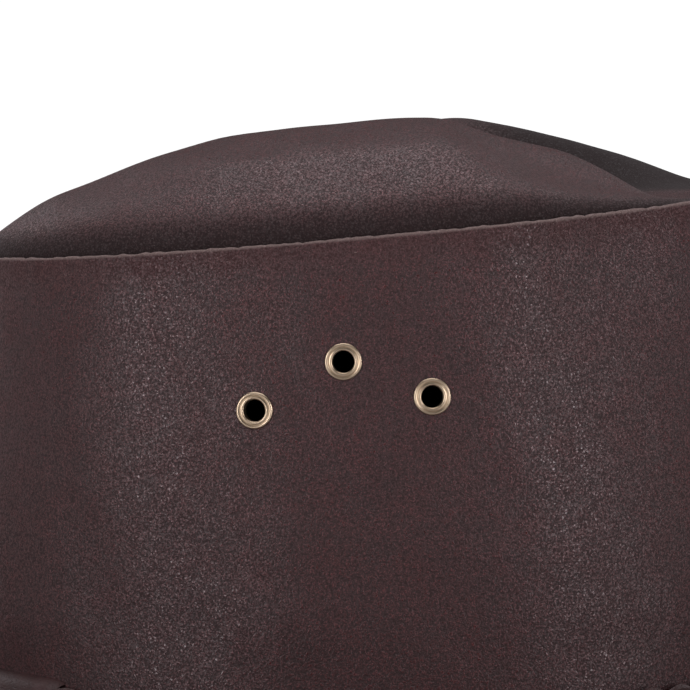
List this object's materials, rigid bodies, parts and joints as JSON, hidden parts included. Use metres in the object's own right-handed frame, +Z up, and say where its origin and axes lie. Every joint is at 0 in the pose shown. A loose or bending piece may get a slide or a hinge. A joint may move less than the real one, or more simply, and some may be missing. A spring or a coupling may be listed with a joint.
{
  "type": "pirate hat",
  "caption": "Brown leather pirate hat with a creased crown, brass vent eyelets, a plaited band and a wide bound brim whose left side snaps up against the crown.",
  "frame": {"origin": "centre of the head opening, in the plane that the flat brim stands on", "axes": "+Z up through the crown, the front of the hat faces -Y, +X is the wearer's left, where the brim is cocked up"},
  "size_m": [0.2736, 0.3838, 0.1358],
  "materials": {
    "crown_leather": "oiled, pebbled, dark brown",
    "dark_leather": "smooth, dark brown",
    "under_leather": "matte, brown",
    "sweat_leather": "smooth, tan brown",
    "stiffener": "pressed fibre",
    "cotton_tape": "woven, black brown",
    "reed": "smooth",
    "wire": "drawn",
    "antique_brass": "antiqued, rubbed bright on the rims"
  },
  "bodies": {
    "hat": {"crown_side": "crown_leather", "crown_tip": "crown_leather", "crown_back_stay": "dark_leather", "tip_seam_tape": "cotton_tape", "brim_top": "crown_leather", "brim_core": "stiffener", "brim_under": "under_leather", "brim_binding": "dark_leather", "brim_wire": "wire", "sweatband": "sweat_leather", "sweatband_reed": "reed", "sweatband_bow": "cotton_tape", "hatband_plait": "dark_leather", "hatband_keeper": "dark_leather", "vent_eyelets_right": "antique_brass", "vent_eyelets_left": "antique_brass", "vent_washers_right": "antique_brass", "vent_washers_left": "antique_brass", "snap_stud": "antique_brass", "snap_post": "antique_brass"},
    "cocked_side": {"flap_top": "crown_leather", "flap_core": "stiffener", "flap_under": "under_leather", "flap_binding": "dark_leather", "flap_wire": "wire", "snap_cap": "antique_brass", "snap_socket": "antique_brass"}
  },
  "joints": [
    {"name": "brim_fold", "type": "hinge", "parent": "hat", "child": "cocked_side", "pos_m": [0.0925, 0, 0.0052], "axis": [0, 1, 0], "range_deg": [0, 96.45]}
  ]
}
